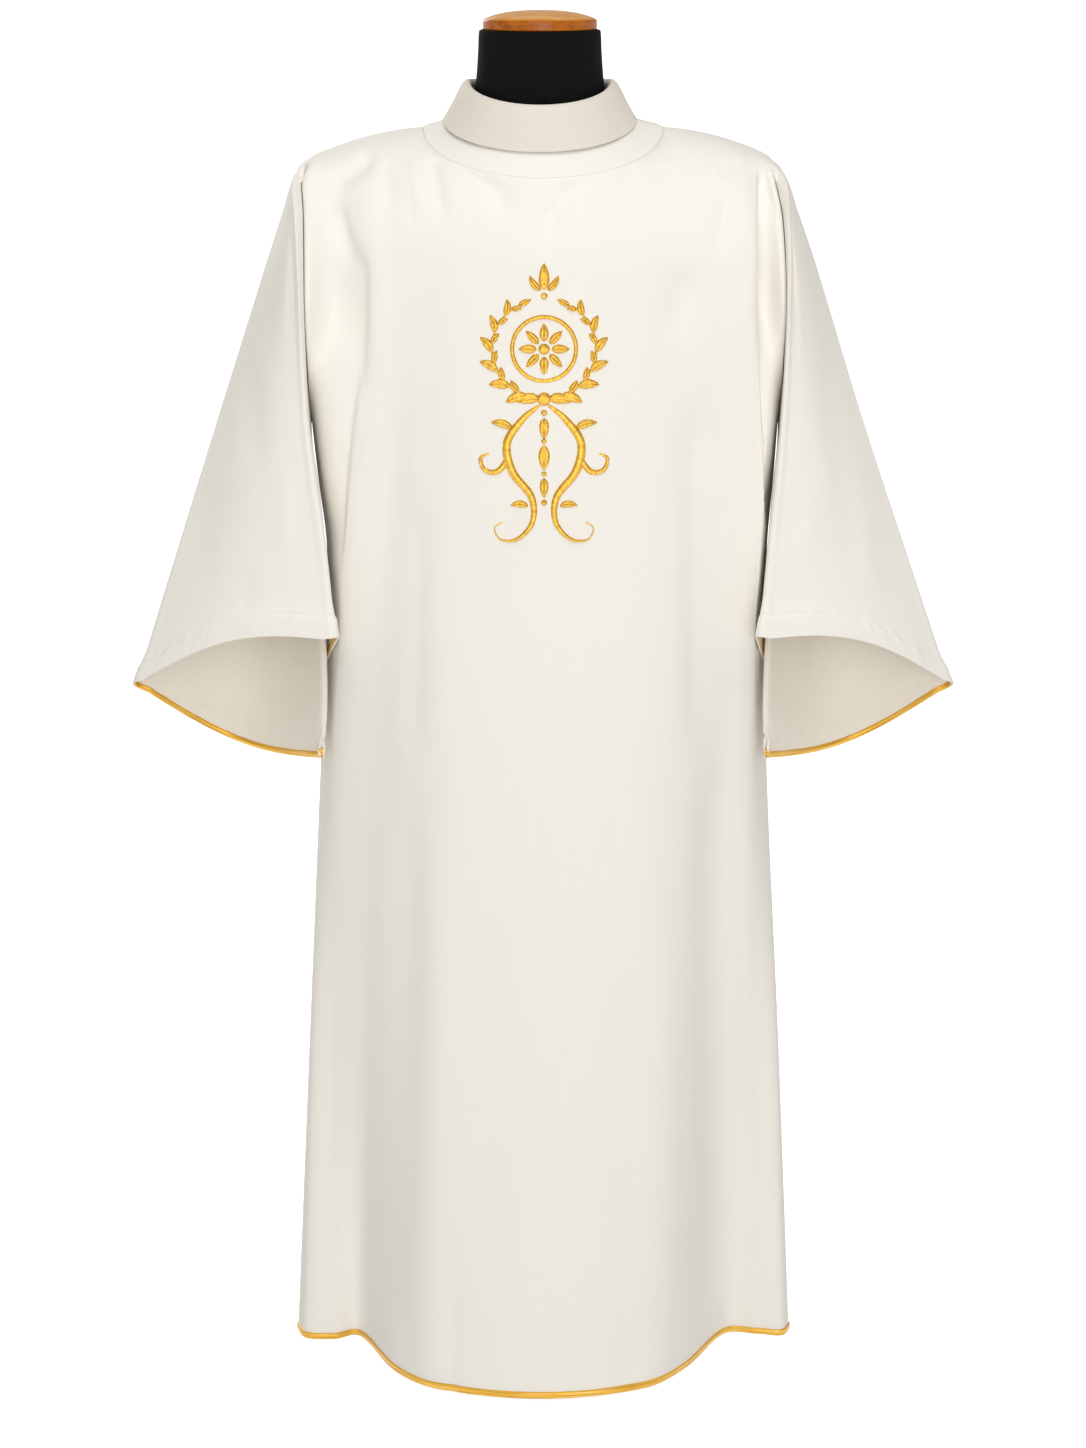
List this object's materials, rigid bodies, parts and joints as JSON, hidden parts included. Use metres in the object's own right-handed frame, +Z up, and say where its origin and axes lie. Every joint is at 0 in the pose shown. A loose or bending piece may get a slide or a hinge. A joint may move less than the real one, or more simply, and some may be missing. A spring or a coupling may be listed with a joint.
{
  "type": "dalmatic on a limbless dress form",
  "caption": "Wide-sleeved ivory dalmatic with a turned-down collar and gold-bound hem and cuffs, hanging on a limbless black dress form with a wood neck cap on a round stand.",
  "frame": {"origin": "centre of the box that holds everything, at the level of the floor", "axes": "+Z up; the garment's front faces -Y, its left sleeve as seen from the front is on the -X side"},
  "size_m": [0.8114, 0.3006, 1.3803],
  "materials": {
    "ivory_cloth": "matt ivory twill",
    "gold_ribbon": "satin ribbon with lengthwise threads",
    "black_jersey": "smooth matt jersey stretched over the form",
    "varnished_wood": "amber, glossy varnish",
    "black_steel": "black lacquer"
  },
  "bodies": {
    "root": {"front": "ivory_cloth", "back": "ivory_cloth", "sleeve_left": "ivory_cloth", "sleeve_right": "ivory_cloth", "neck_band": "ivory_cloth", "collar": "ivory_cloth", "hem_binding": "gold_ribbon", "cuff_binding_left": "gold_ribbon", "cuff_binding_right": "gold_ribbon", "form_body": "black_jersey", "neck_cap": "varnished_wood", "stand_pole": "black_steel", "stand_base": "black_steel"}
  },
  "joints": []
}
